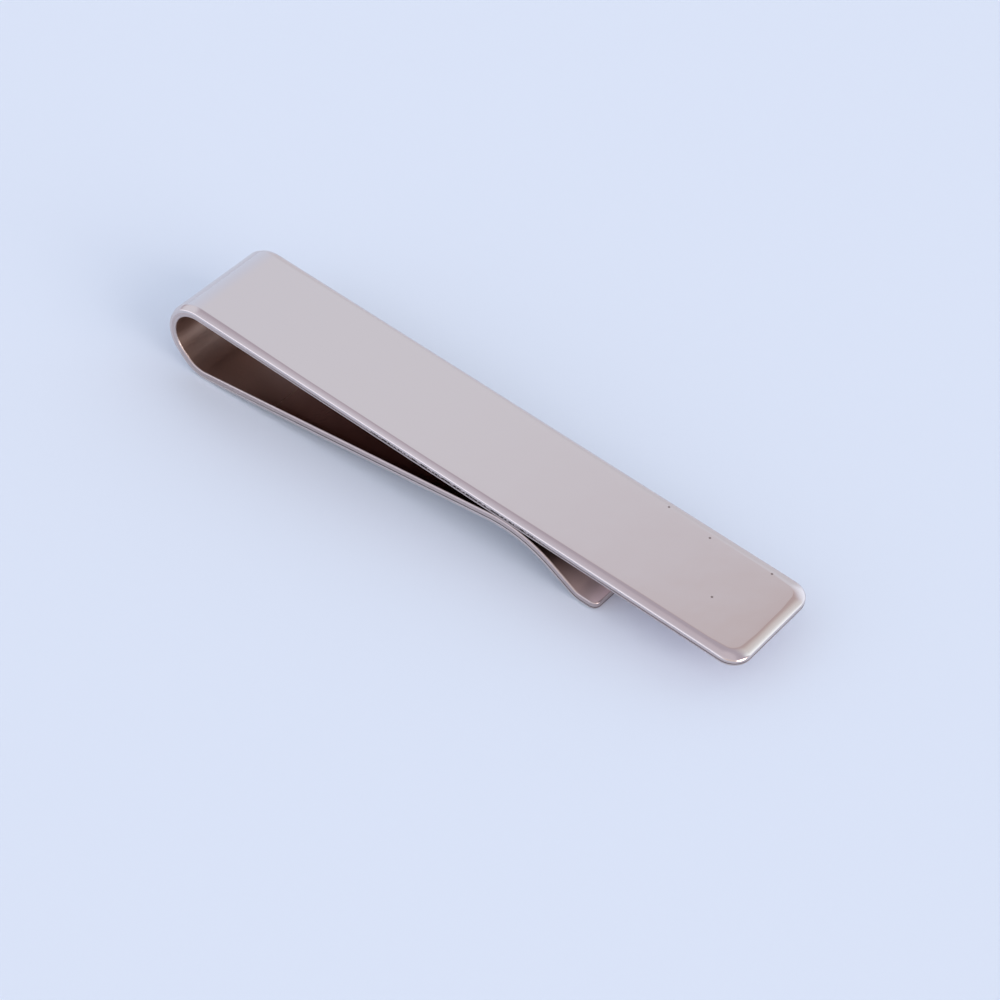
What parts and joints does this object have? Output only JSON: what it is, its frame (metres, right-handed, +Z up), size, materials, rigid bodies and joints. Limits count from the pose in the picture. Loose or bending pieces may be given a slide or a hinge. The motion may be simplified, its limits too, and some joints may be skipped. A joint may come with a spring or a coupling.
{
  "type": "tie clip",
  "caption": "Slide-on tie clip bent from one polished metal strip: flat bar with rolled edges, rounded fold and a sprung tongue with a crest and flared lip that grip the cloth.",
  "frame": {"origin": "centre of the bounding box's base: the middle of the clip, on the table it rests on", "axes": "+X along the clip from the fold to the bar's free end, +Y across the strip, +Z up from the table. The bar's top leans 3.97 degrees down towards +X, as the clip stands on its heel and lip."},
  "size_m": [0.0548, 0.0096, 0.0068],
  "materials": {
    "plated_strip": "polished"
  },
  "bodies": {
    "tongue": {"spring_arm": "plated_strip", "grip_crest": "plated_strip", "entry_ramp": "plated_strip", "lip_bend": "plated_strip", "entry_lip": "plated_strip"},
    "fold": {"fold_back": "plated_strip", "fold_web": "plated_strip", "heel_bend": "plated_strip", "arm_root": "plated_strip"},
    "bar": {"face_bar": "plated_strip", "upper_bend": "plated_strip"}
  },
  "joints": [
    {"name": "arm_flex", "type": "hinge", "parent": "tongue", "child": "fold", "pos_m": [-0.01926, 0, 0.00045], "axis": [0, -1, 0], "range_deg": [0, 2]},
    {"name": "fold_flex", "type": "hinge", "parent": "fold", "child": "bar", "pos_m": [-0.02738, 0, 0.00385], "axis": [0, -1, 0], "range_deg": [0, 3.6], "stiffness_Nm_per_rad": 3.9}
  ],
  "couplings": [
    {"joint": "arm_flex", "follows": "fold_flex", "ratio": 0.55}
  ]
}
